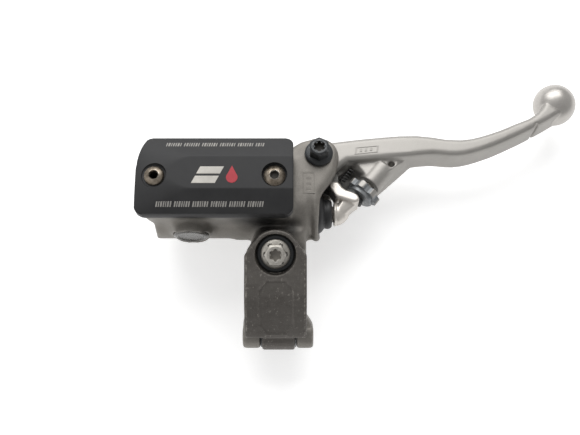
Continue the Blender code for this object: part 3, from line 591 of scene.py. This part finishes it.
def clamp_arch():
    """Clamp cap with its shallow eight-sided panel, sunk square to the curved top."""
    arch = remeshed(welded("clamp_arch", "clamp_cap"), ARCH_VOXEL)
    smoothed(arch, 5)
    panel = [(-3.6, -17.5), (4.2, -17.5), (7.2, -13.5), (7.2, 1.2), (4.0, 4.9), (-3.4, 4.9),
             (-6.6, 1.2), (-6.6, -13.5)]
    co = points_of(arch)
    at = local(co, CLAMP)
    depth = ramp(convex_depth(at[:, :2], panel), -0.25, 0.35)
    across = np.hypot(at[:, 1], at[:, 2])
    depth *= ramp(across, 11.9, 12.6) * (at[:, 2] > 4)
    rim = np.exp(-(convex_depth(at[:, :2], panel) / 0.35 + 1.2) ** 2) * (at[:, 2] > 4) * (across > 12)
    outward = (np.array(CLAMP_Y)[None] * at[:, 1:2] + np.array(CLAMP_Z)[None] * at[:, 2:3])
    outward /= np.maximum(across, 1e-6)[:, None]
    set_points(arch, co - outward * ((PANEL_DEEP * depth - PANEL_LIP * rim) * MM)[:, None])
    return finish(arch, "clamp", "cast_clamp", CAST_CLAMP, "clamp_cap")


def lever_blade():
    """Lever with its web and boss; the ball end is polished."""
    blade = remeshed(welded("lever_blade", "brake_lever"), BLADE_VOXEL)
    smoothed(blade, 8)
    blade.data.materials.append(LEVER_SATIN)
    blade.data.materials.append(POLISHED)
    reach = np.linalg.norm(face_middles(blade, LEVER) - np.array(BALL_AT), axis=1)
    blade.data.polygons.foreach_set("material_index", (np.abs(reach - BALL_R) < 0.12).astype(int))
    return finish(blade, "lever", "satin_aluminium", (), "brake_lever")


def fork_floor_shade():
    """Inner floor of the lever between its pivot fork and the adjuster boss, dark with painted shade."""
    outline = [(0, -9.2), (6.5, -12.0), (10.8, -12.0), (14.0, -8.4), (17.2, -4.4), (17.2, 0), (9, 2)]
    floor = prism("fork_floor_shade", eased(outline, 0.8, 3, closed=True), -6.8, -4.6, LEVER, rim=0.3)
    combine(floor, [turned("clearance", [(0, 9), (8.6, 9), (8.6, -9), (0, -9)], LEVER, 64)])
    smooth_shade(floor, 30)
    return finish(floor, "lever", None, SHADE_GREY)


def frame_marks(name, corners, bars, width, place, top, body, look, thick=0.14):
    """A blank cartouche: a raised outline with slanted bars in it, on a flat face."""
    middle = np.mean(corners, axis=0)
    inner = [middle + (np.array(c) - middle) * (1 - width) for c in corners]
    parts = [prism(name, [corners[k], corners[k - 1], tuple(inner[k - 1]), tuple(inner[k])],
                   top - 0.3, top + thick, place) for k in range(4)]
    start, end = np.array(corners[0]), np.array(corners[1])
    rise = np.array(corners[3]) - start
    for t in bars:
        low = start + (end - start) * t + rise * 0.3
        step = (end - start) * 0.1
        parts.append(prism(name, [tuple(low), tuple(low + step), tuple(low + step + rise * 0.4),
                                  tuple(low + rise * 0.4)], top - 0.3, top + thick, place))
    return finish(joined(parts), body, None, look)


def pusher_arm():
    """Pusher with a turned nose, beaded where it meets the boot, and a full root and cheek; its lower
    faces carry painted shade.
    """
    arm = welded("pusher_arm", "knuckle")
    nose = [(0, 27.0), (3.6, 27.0), (4.2, 25.9), (4.6, 25.3), (5.3, 25.4), (5.5, 26.0), (5.0, 26.6),
            (5.1, 27.6), (4.6, 28.8), (3.6, 30.3), (2.0, 31.8), (0, 32.6)]
    root = [CYLINDER @ Vector((*p, 27.0)) for p in arc((0, 0), 4.9, 0, 345, 24)]
    foot = [LEVER @ Vector(p) for p in ((16.6, -19.8, -3.2), (16.6, -19.8, 4.6), (15.4, -16.6, 5.6),
                                        (15.4, -16.6, -3.2), (11.5, -17.6, 5.6), (11.5, -17.6, -3.2))]
    combine(arm, [turned("nose", nose, CYLINDER, 48)], "UNION")
    combine(arm, [hull("nose_root", root + foot)], "UNION")
    cheek = [(5.2, -10.0), (4.8, -11.6), (5.8, -14.0), (7.6, -16.6), (9.5, -12.0)]
    combine(arm, [prism("cheek", cheek, -3.2, 6.95, LEVER)], "UNION")
    remeshed(arm, ARM_VOXEL)
    smoothed(arm, 5)
    arm.data.materials.append(BRIGHT)
    arm.data.materials.append(SHADE_GREY)
    # Painted shade: the faces below the eye's top and short of its end take the darker grey of shade.
    at = face_middles(arm, LEVER)
    shaded_faces = (at[:, 2] < EYE_TOP) & (at[:, 1] > EYE_END_Y)
    arm.data.polygons.foreach_set("material_index", shaded_faces.astype(int))
    return finish(arm, "pusher", "bright_aluminium", (), "knuckle")


# ---------------------------------------------------------------- reservoir cap

CAP_LOW, CAP_HIGH = (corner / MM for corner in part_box("reservoir_cap"))
SCREWS = {name: centre(name) / MM for name in ("cap_screw_left", "cap_screw_right")}
SCREW_SEAT = 26.0
COUNTERBORE_R = 5.3
PRINT_THICK = 0.05
POCKET = ((-45.2, 29.6), (-5.2, 56.0))
POCKET_ROOF = 23.4
RIDGE_HALF = 7.2
RIM_HEIGHT = 24.0
END_SLOPE = math.radians(17)


def cap_plan(inset=0.0):
    """The cap seen from above: square at the right, eased at the front left corner."""
    left, right = CAP_LOW.x + inset, CAP_HIGH.x - inset
    rear, front = CAP_LOW.y + inset, CAP_HIGH.y - inset
    corner = 3.4
    plan = arc((right - corner, front - corner), corner, 0, 90, 14)
    shoulder = [(left + 5.6, front), (left + 3.9, front - 1.0), (left + 2.1, front - 4.4),
                (left + 0.7, front - 9), (left, front - 15.5)]
    plan += eased([(left + 12, front)] + shoulder + [(left, front - 22)], 3.0, 6)
    plan += arc((left + corner, rear + corner), corner, 180, 270, 14)
    plan += arc((right - corner, rear + corner), corner, 270, 360, 14)
    return plan


def distance_inside(at, plan):
    """How far each point lies inside a closed outline."""
    best = np.full(len(at), 1e9)
    for a, b in zip(plan, plan[1:] + plan[:1]):
        a, b = np.array(a), np.array(b)
        along = b - a
        t = np.clip(((at - a) @ along) / max(along @ along, 1e-12), 0, 1)
        best = np.minimum(best, np.hypot(*(at - a - t[:, None] * along).T))
    return best


def soft_min(a, b, width):
    """The lower of two heights, rounded over where they cross."""
    h = np.clip(0.5 + 0.5 * (b - a) / width, 0, 1)
    return b * (1 - h) + a * h - width * h * (1 - h)


def lid_height(at):
    """Height of the lid's top over points of its plan."""
    middle, ridge = (CAP_LOW.y + CAP_HIGH.y) / 2, CAP_HIGH.z - PRINT_THICK
    fall = (ridge - RIM_HEIGHT) / ((CAP_HIGH.y - CAP_LOW.y) / 2 - RIDGE_HALF)
    off = np.abs(at[:, 1] - middle)
    blur = 0.1 + 4.2 * (1 - ramp(at[:, 0], CAP_LOW.x + 4, CAP_LOW.x + 24))
    height = soft_min(np.full(len(at), ridge), ridge - (off - RIDGE_HALF) * fall, blur)
    slope = RIM_HEIGHT + 2.0 + (at[:, 0] - CAP_LOW.x) * math.tan(END_SLOPE)
    return soft_min(height, slope, 3.4)


def cap_shell():
    """Hipped lid: a flat ridge, two long facets and a slope that fades them out at the left."""
    step, edge = 0.3, 0.55
    xs = np.arange(CAP_LOW.x - step, CAP_HIGH.x + 2 * step, step)
    ys = np.arange(CAP_LOW.y - step, CAP_HIGH.y + 2 * step, step)
    grid = np.array([(x, y) for x in xs for y in ys])
    near = np.clip(edge - distance_inside(grid, cap_plan()), 0, edge)
    height = lid_height(grid) - edge + np.sqrt(edge ** 2 - near ** 2)
    rows, cols = len(xs), len(ys)
    bm = bmesh.new()
    top = [bm.verts.new((*p, z)) for p, z in zip(grid, height)]
    for i in range(rows - 1):
        for j in range(cols - 1):
            k = i * cols + j
            bm.faces.new((top[k], top[k + cols], top[k + cols + 1], top[k + 1]))
    rim_edges = [e for e in bm.edges if e.is_boundary]
    made = bmesh.ops.extrude_edge_only(bm, edges=rim_edges)
    for vert in made["geom"]:
        if isinstance(vert, bmesh.types.BMVert):
            vert.co.z = CAP_LOW.z - 3
    bmesh.ops.contextual_create(bm, geom=[e for e in bm.edges if e.is_boundary])
    shell = from_bmesh("cap_shell", bm, BODY)
    combine(shell, [prism("plan", cap_plan(), CAP_LOW.z, CAP_HIGH.z + 2, BODY)], "INTERSECT")
    profile = [(0, 34), (COUNTERBORE_R, 34), (COUNTERBORE_R, SCREW_SEAT + 0.3),
               (COUNTERBORE_R - 0.3, SCREW_SEAT), (2.4, SCREW_SEAT), (2.4, 15), (0, 15)]
    tools = [turned("counterbore", profile, BODY, 72, (at.x, at.y)) for at in SCREWS.values()]
    (left, rear), (right, front) = POCKET
    tools.append(prism("pocket", [(left, rear), (right, rear), (right, front), (left, front)],
                       10, POCKET_ROOF, BODY))
    combine(shell, [joined(tools)])
    smooth_shade(shell, 28)
    return finish(shell, "housing", "black_anodised", ANODISED, "reservoir_cap")


def printed(name, shell, outlines, look):
    """Marks cut from the lid's own surface and raised a hair above it."""
    layer = piece(name, shell.data.copy())
    layer.data.materials.clear()
    layer.data.transform(Matrix.Translation((0, 0, PRINT_THICK * MM)))
    combine(layer, [joined([prism("mark", o, 23.6, 32, BODY) for o in outlines])], "INTERSECT")
    return finish(layer, "housing", None, look)


def dashes(start, end, y, tall, widths, gap=0.4, lean=0.2):
    """A row of slanted dashes between two ends, their widths repeating."""
    out, x, k = [], start, 0
    while x + widths[k % len(widths)] < end:
        wide = widths[k % len(widths)]
        slant = lean * tall
        out.append([(x, y), (x + wide, y), (x + wide + slant, y + tall), (x + slant, y + tall)])
        x += wide + gap * (3.0 if k % 7 == 6 else 1)
        k += 1
    return out


def cap_marks(shell):
    """Generic print: a row of dashes on each facet, and a plain drop beside two bars."""
    rows = dashes(-46.0, -4.2, 55.1, 1.9, (0.5, 0.75, 0.4, 0.6, 0.5, 0.7, 0.45))
    rows += dashes(-49.2, -3.4, 28.6, 2.1, (0.6, 0.45, 0.75, 0.5, 0.4, 0.7, 0.55))
    bars = [[(-34.6, 37.9), (-24.8, 37.9), (-23.2, 41.1), (-33.0, 41.1)],
            [(-32.6, 42.0), (-22.8, 42.0), (-21.2, 45.2), (-31.0, 45.2)]]
    printed("cap_print", shell, bars, PRINT_WHITE)
    printed("cap_print_rows", shell, rows, PRINT_FADED)
    drop = arc((-17.9, 40.4), 2.4, 140, 400, 20) + [(-17.9, 45.6)]
    printed("cap_print_drop", shell, [drop], PRINT_RED)


def hexagon(across_flats, turn=0.0):
    return arc((0, 0), across_flats / math.sqrt(3), turn, turn + 300, 6)


def moved(outline, at):
    return [(x + at[0], y + at[1]) for x, y in outline]


def torx(radius, lobes=6, turn=0.0):
    """Outline of a six-lobed socket."""
    out = []
    for i in range(lobes * 12):
        angle = 2 * math.pi * i / (lobes * 12)
        reach = radius * (0.86 + 0.14 * math.cos(lobes * angle))
        out.append((reach * math.cos(angle + turn), reach * math.sin(angle + turn)))
    return out


def grime_and_shade(obj, place, at, radius, below, look):
    """Give the walls and floor of a socket their own dark, dirty material."""
    obj.data.materials.append(look)
    co = local(points_of(obj), place)
    for face in obj.data.polygons:
        middle = co[list(face.vertices)].mean(0)
        if math.hypot(middle[0] - at[0], middle[1] - at[1]) < radius and middle[2] < below:
            face.material_index = 1


def button_screw(name, node, turn, head_r, worn):
    """Domed socket screw with a countersunk mouth to its hexagon, worn bright out to a radius."""
    at = (SCREWS[node].x, SCREWS[node].y)
    seat = SCREW_SEAT + 0.1
    mouth = seat + 1.4
    head = [(0, seat + 2.2)] + [(r, seat + 2.2 - 0.085 * r ** 2) for r in (0.8, 1.6, 2.2, 2.8, 3.4, 3.9)]
    head += [(head_r - 0.1, seat + 0.6), (head_r, seat + 0.4), (head_r, seat + 0.1),
             (head_r - 0.15, seat), (1.95, seat)]
    head += [(1.95, 8), (0, 8)]
    screw = turned(name, head, BODY, 64, at)
    combine(screw, [turned("mouth", [(0, seat + 3.2), (2.9, seat + 3.2), (1.75, mouth), (0, mouth)],
                           BODY, 48, at)])
    combine(screw, [prism("socket", moved(hexagon(3.3, turn), at), seat + 0.2, seat + 5, BODY)])
    screw.data.materials.append(STAINLESS)
    grime_and_shade(screw, BODY, at, 2.0, mouth + 0.02, SOCKET_GRIME)
    screw.data.materials.append(ZINC)
    middles = face_middles(screw, BODY)
    reach = np.hypot(middles[:, 0] - at[0], middles[:, 1] - at[1])
    for face, r, z in zip(screw.data.polygons, reach, middles[:, 2]):
        if 1.6 < r < worn and z > mouth + 0.02 and face.normal.z < 0.93:
            face.material_index = 2
    smooth_shade(screw, 30)
    return finish(screw, "housing", "stainless", (), node)


# ---------------------------------------------------------------- bolts

HEX_FLATS = 8.0
FLANGE_R = 6.2
THREAD_R, THREAD_ROOT_R, THREAD_PITCH = 2.95, 2.6, 1.0
SOCKET_R, SOCKET_DEEP = 2.7, 2.6


def flange_bolt(name, node, look, dirt, slot, body, place, at, seat, tip, head, turn=0.0):
    """Hexagon flange bolt: dished flange, hexagon with a turned-down crown, lobed socket."""
    flange = eased([(0, seat + 1.75), (4.0, seat + 1.75), (5.5, seat + 1.25), (FLANGE_R, seat + 0.85),
                    (FLANGE_R, seat), (THREAD_R, seat)], 0.25, 3)
    shank = [(THREAD_R, seat - 0.4)]
    depth = seat - 1.2
    while depth > tip + 0.6:
        shank += [(THREAD_R, depth), (THREAD_ROOT_R, depth - THREAD_PITCH / 2)]
        depth -= THREAD_PITCH
    bolt = turned(name, flange + shank + [(2.4, tip), (0, tip)], place, 72, at)
    crown = turned("crown", eased([(0, seat + head), (HEX_FLATS / 2 - 0.5, seat + head),
                                   (HEX_FLATS / 2 + 0.85, seat + head - 0.8),
                                   (HEX_FLATS / 2 + 0.85, seat + 0.6), (0, seat + 0.6)], 0.2, 3),
                   place, 72, at)
    combine(crown, [prism("hexagon", moved(hexagon(HEX_FLATS, turn), at), seat, seat + head + 1,
                          place)], "INTERSECT")
    combine(bolt, [crown], "UNION")
    mouth = turned("mouth", [(0, seat + head + 0.6), (3.0, seat + head + 0.6), (2.3, seat + head - 0.35),
                             (0, seat + head - 0.35)], place, 48, at)
    combine(bolt, [mouth])
    combine(bolt, [prism("socket", moved(torx(SOCKET_R, turn=math.radians(90)), at),
                         seat + head - SOCKET_DEEP, seat + head + 2, place)])
    bolt.data.materials.append(look)
    grime_and_shade(bolt, place, at, 2.6, seat + head - 0.5, dirt)
    smooth_shade(bolt, 30)
    return finish(bolt, body, slot, (), node)


def washer_ring():
    """Black ring the clamp bolt bears on, dished down to its bore."""
    top = 8.7
    profile = eased([(3.3, top - 0.1), (6.4, top), (7.4, top), (7.95, top - 0.25), (7.95, top - 0.6),
                     (3.3, top - 0.6)], 0.12, 3, closed=True)
    ring = turned("washer_ring", profile, CLAMP, 96, CLAMP_BOLT_AT, closed=True)
    smooth_shade(ring, 30)
    return finish(ring, "clamp", "black_steel", BLACK_STEEL, "clamp_bolt_washer")


SHIM_THICK, SHIM_R, SHIM_BORE_R = 0.4, 5.7, 2.3


def hinge_shims():
    """Dark shims that close the gaps between the cap's tongue and the saddle's lugs."""
    arm = -HINGE.length / MM
    for name, low in (("hinge_shim_near", -6.35), ("hinge_shim_far", 8.15)):
        high = low + SHIM_THICK
        profile = [(SHIM_BORE_R, low), (SHIM_R, low), (SHIM_R, high), (SHIM_BORE_R, high)]
        shim = turned(name, profile, SECTION, 64, (arm, 0), closed=True)
        smooth_shade(shim, 30)
        finish(shim, "clamp", None, BLACK_STEEL)


# ---------------------------------------------------------------- adjuster

def click_wheel():
    """Lobed wheel on a round hub: dark flanks, bright crests."""
    outline = []
    lobes, outer, inner, first = 7, 7.9, 6.4, -99.5
    crest, flank = 10, 17
    for k in range(lobes):
        middle = first + 360 / lobes * k
        outline += arc((0, 0), outer, middle - crest, middle + crest, 5)
        outline += arc((0, 0), inner, middle + flank, middle + 360 / lobes - flank, 5)
    wheel = prism("click_wheel", eased(outline, 0.35, 2, closed=True), -0.7, 2.5, ADJUSTER, rim=0.35)
    combine(wheel, [turned("hub", eased([(0, 1.5), (6.0, 1.5), (6.0, -2.5), (0, -2.5)], 0.4, 3),
                           ADJUSTER, 64)], "UNION")
    combine(wheel, [turned("bore", [(0, 9), (2.4, 9), (2.4, -9), (0, -9)], ADJUSTER, 40)])
    wheel.data.materials.append(WHEEL_GREY)
    wheel.data.materials.append(LEVER_SATIN)
    co = local(points_of(wheel), ADJUSTER)
    for face in wheel.data.polygons:
        ids = list(face.vertices)
        face.material_index = int(np.hypot(co[ids, 0], co[ids, 1]).min() > outer - 0.5)
    smooth_shade(wheel, 30)
    return finish(wheel, "adjuster", "grey_anodised", (), "adjuster_wheel")


def coil(name, radius, wire, low, high, turns, place, at=(0, 0), per_turn=24):
    """Round-wire compression spring with closed ends about the frame's z."""
    curve = bpy.data.curves.new(name, "CURVE")
    curve.dimensions = "3D"
    curve.bevel_depth = wire * MM
    curve.bevel_resolution = 3
    curve.use_fill_caps = True
    spline = curve.splines.new("POLY")
    count = int(turns * per_turn)
    spline.points.add(count)
    for i, point in enumerate(spline.points):
        angle = 2 * math.pi * turns * i / count
        where = place @ Vector((at[0] + radius * math.cos(angle), at[1] + radius * math.sin(angle),
                                low + wire + (high - low - 2 * wire) * i / count))
        point.co = (*where, 1)
    return applied_curve(name, curve)


def applied_curve(name, curve):
    holder = piece(name + "_curve", curve)
    bpy.context.view_layer.update()
    mesh = bpy.data.meshes.new_from_object(holder.evaluated_get(bpy.context.evaluated_depsgraph_get()))
    bpy.data.objects.remove(holder)
    mesh.name = name
    made = piece(name, mesh)
    made.data.shade_smooth()
    return made


def springs():
    small = coil("pusher_spring", radius=1.2, wire=0.3, low=-3.3, high=5.0, turns=5, place=ADJUSTER,
                 at=(-9.9, -3.6))
    finish(small, "pusher", "spring_steel", SPRING, "knuckle_spring")
    low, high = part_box("return_spring")
    wound = coil("piston_spring", radius=4.7, wire=0.55, low=low.x / MM, high=high.x / MM, turns=6.5,
                 place=CYLINDER)
    finish(wound, "housing", "spring_steel", SPRING, "return_spring")
    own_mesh(wound)


# ---------------------------------------------------------------- boot and sight glass


def boot_bellows():
    """Dust boot. The nose tilts as it pushes, so it flattens further than the piston travels."""
    outer = [(8.9, 14.1), (8.9, 18.3), (8.3, 19.6), (7.4, 20.5), (6.3, 21.2), (6.5, 22.0), (6.6, 22.9),
             (6.3, 23.9), (5.6, 24.6)]
    inner = [(4.9, 24.4), (4.4, 22.8), (5.0, 21.8), (5.3, 21.0), (6.6, 19.7), (7.6, 18.9), (7.9, 18.0),
             (7.9, 14.1)]
    path = eased(outer + inner, 0.5, 4, closed=True)
    boot = turned("boot_bellows", path, CYLINDER, 72, closed=True)
    smooth_shade(boot, 50)
    finish(boot, "housing", "rubber", RUBBER, "piston_boot")
    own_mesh(boot)
    return boot


def sight_lens():
    """Sight glass with a raised rim round its sunk face."""
    profile = eased([(0, -0.55), (5.3, -0.6), (5.8, -0.1), (6.3, 0.0), (6.8, -0.15), (7.4, -0.6),
                     (7.4, -1.8), (0, -1.8)], 0.2, 3)
    lens = turned("sight_lens", profile, GLASS, 72)
    smooth_shade(lens, 30)
    return finish(lens, "housing", "clear_lens", LENS, "sight_glass")


body_casting()
clamp_arch()
lever_blade()
frame_marks("lever_mark", [(16.4, 3.4), (27.0, 4.6), (27.6, 7.9), (17.0, 6.9)], (0.2, 0.42, 0.64), 0.16,
            LEVER, LEVER_TOP, "lever", SATIN_MARK)
frame_marks("ear_mark", [(-2.0, -19.2), (-2.0, -8.8), (-7.2, -8.8), (-7.2, -19.2)], (0.18, 0.42, 0.66),
            0.14, LEVER, EAR_TOP, "housing", CAST_MARK)
fork_floor_shade()
pusher_arm()
cap_marks(cap_shell())
button_screw("cap_screw_near", "cap_screw_left", 12, 4.2, 0.0)
button_screw("cap_screw_far", "cap_screw_right", 14, 4.6, 2.3)
flange_bolt("clamp_fixing", "clamp_bolt", ZINC, SOCKET_DUST, "zinc", "clamp", CLAMP,
            at=CLAMP_BOLT_AT, seat=9.0, tip=-13.0, head=6.6)
flange_bolt("lever_fixing", "pivot_bolt", BLACK_STEEL, SOCKET_GRIME, "black_steel", "housing", LEVER,
            at=(0, 0), seat=14.6, tip=-20.5, head=7.0, turn=30)
washer_ring()
hinge_shims()
click_wheel()
springs()
boot_bellows()
sight_lens()


# ---------------------------------------------------------------- stage

def stage():
    bm = bmesh.new()
    bmesh.ops.create_grid(bm, x_segments=1, y_segments=1, size=3.0)
    for vert in bm.verts:
        vert.co.z = CAD_BOX[0].z
    floor = from_bmesh("floor", bm)
    look = Look("pale_floor", Roughness=0.9, Emission_Color=(1, 1, 1, 1), Emission_Strength=0.5)
    tint = look.noise(300, 3)
    floor.data.materials.append(
        look.tone(look.mix(look.span(tint, 0.3, 0.7), (0.86, 0.86, 0.86), (0.88, 0.88, 0.88))))


def soft_light(name, place, aim, size, power):
    lamp = bpy.data.lights.new(name, "AREA")
    lamp.shape = "RECTANGLE"
    lamp.size, lamp.size_y = size
    lamp.energy = power
    holder = bpy.data.objects.new(name, lamp)
    holder.location = place
    holder.rotation_euler = (Vector(aim) - Vector(place)).to_track_quat("-Z", "Y").to_euler()
    bpy.context.scene.collection.objects.link(holder)


def studio():
    bpy.context.scene.view_settings.view_transform = "Standard"
    aim = (0.04, 0.04, 0.0)
    soft_light("key", (-0.05, 0.62, 0.6), aim, (1.0, 0.6), 6.2)
    soft_light("fill", (-0.6, -0.2, 0.5), aim, (0.6, 0.6), 0.6)
    world = bpy.data.worlds.new("studio")
    bpy.context.scene.world = world
    world.use_nodes = True
    world.node_tree.nodes["Background"].inputs["Color"].default_value = (1, 1, 1, 1)
    world.node_tree.nodes["Background"].inputs["Strength"].default_value = 0.43


def camera():
    lens = bpy.data.cameras.new("camera")
    holder = bpy.data.objects.new("camera", lens)
    forward = Vector((0, 0.309, -0.951)).normalized()
    place = Matrix((X, X.cross(forward), -forward)).transposed().to_4x4()
    place.translation = (0.006, -0.0739, 0.3267)
    holder.matrix_world = place
    lens.sensor_width = 36
    lens.lens = 48.29
    lens.clip_start = 0.01
    bpy.context.scene.collection.objects.link(holder)
    bpy.context.scene.camera = holder


stage()
studio()
camera()
